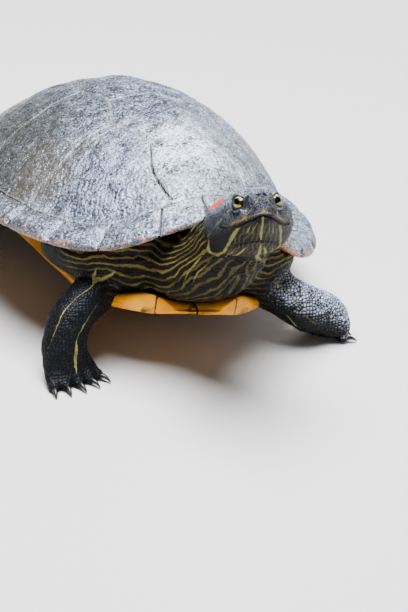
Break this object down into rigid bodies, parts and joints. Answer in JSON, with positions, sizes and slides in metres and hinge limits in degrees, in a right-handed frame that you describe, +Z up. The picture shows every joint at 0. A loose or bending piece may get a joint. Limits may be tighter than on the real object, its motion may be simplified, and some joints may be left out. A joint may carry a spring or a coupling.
{
  "type": "red-eared slider turtle model",
  "caption": "Life-size still model of an adult freshwater turtle, fore-body raised on spread forelegs, neck out and head up, with domed shell, claws and short tail.",
  "frame": {"origin": "on the floor under the centre of the bounding box", "axes": "+Z up, the animal faces -Y, its left side is +X, and its length lies along Y"},
  "size_m": [0.2246, 0.306, 0.1264],
  "materials": {
    "carapace_horn": "worn grey-blue horn scutes with black seams, growth wrinkles and dried scum",
    "plastron_horn": "glossy orange-yellow horn with dark brown blotches and seams",
    "skin": "dark blue-grey scaled skin with yellow and olive stripes and a red patch behind each eye",
    "eye": "wet yellow-green iris with a dark bar through a round pupil",
    "claw": "dark brown horn, paler at the tip"
  },
  "bodies": {
    "root": {"carapace": "carapace_horn", "plastron": "plastron_horn", "trunk": "skin", "neck": "skin", "head": "skin", "tail": "skin", "eye_right": "eye", "eye_left": "eye", "foreleg_right": "skin", "forefoot_right": "skin", "forefoot_right_claw_1": "claw", "forefoot_right_claw_2": "claw", "forefoot_right_claw_3": "claw", "forefoot_right_claw_4": "claw", "forefoot_right_claw_5": "claw", "foreleg_left": "skin", "forefoot_left": "skin", "forefoot_left_claw_1": "claw", "forefoot_left_claw_2": "claw", "forefoot_left_claw_3": "claw", "forefoot_left_claw_4": "claw", "forefoot_left_claw_5": "claw", "hindleg_right": "skin", "hindfoot_right": "skin", "hindfoot_right_claw_1": "claw", "hindfoot_right_claw_2": "claw", "hindfoot_right_claw_3": "claw", "hindfoot_right_claw_4": "claw", "hindleg_left": "skin", "hindfoot_left": "skin", "hindfoot_left_claw_1": "claw", "hindfoot_left_claw_2": "claw", "hindfoot_left_claw_3": "claw", "hindfoot_left_claw_4": "claw"}
  },
  "joints": []
}
